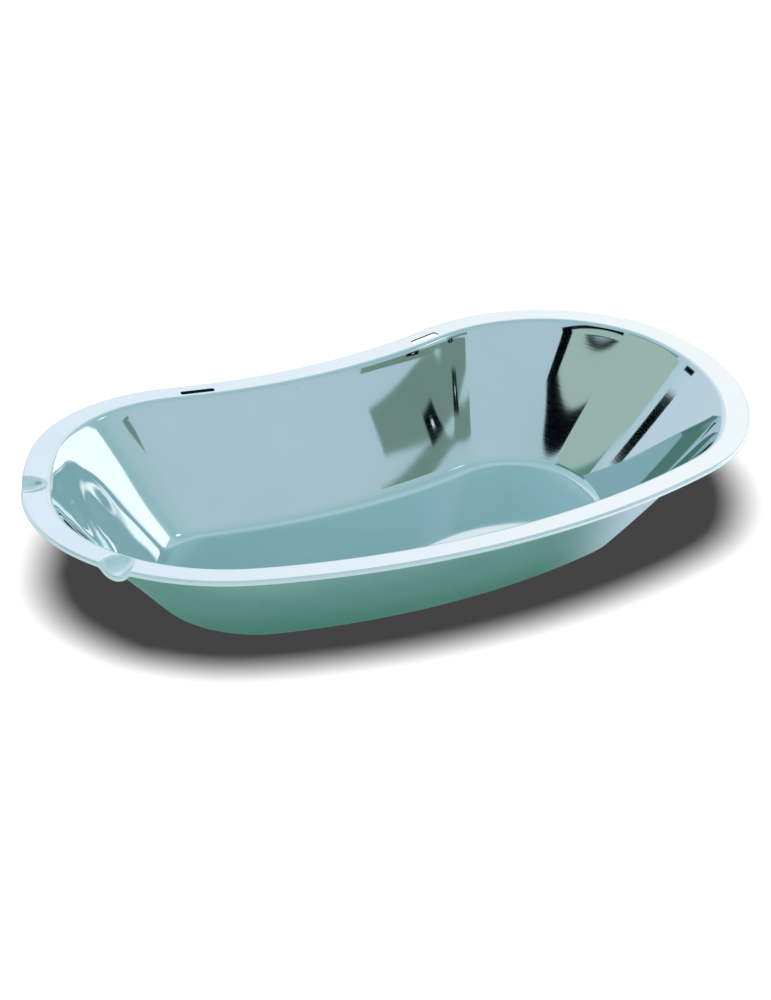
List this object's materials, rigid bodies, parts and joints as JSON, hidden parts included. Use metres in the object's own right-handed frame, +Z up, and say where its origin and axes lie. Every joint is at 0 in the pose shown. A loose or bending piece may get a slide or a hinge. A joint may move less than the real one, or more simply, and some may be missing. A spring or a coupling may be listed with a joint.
{
  "type": "kidney-shaped bedpan",
  "caption": "Open kidney-shaped hospital pan in polished stainless steel with a flat flanged rim, slots in the hollow side and pouring grooves at one end.",
  "frame": {"origin": "middle of the box at the underside of the floor, where the pan stands", "axes": "+X to the head end, +Y to the hollow back side with the slots, +Z up"},
  "size_m": [0.4198, 0.2556, 0.0663],
  "materials": {
    "polished_sheet": "mirror polished inside and on the flange, satin outside",
    "core_wire": "drawn wire, hidden in the curled edge"
  },
  "bodies": {
    "root": {"pan_shell": "polished_sheet", "rim_wire": "core_wire"}
  },
  "joints": []
}
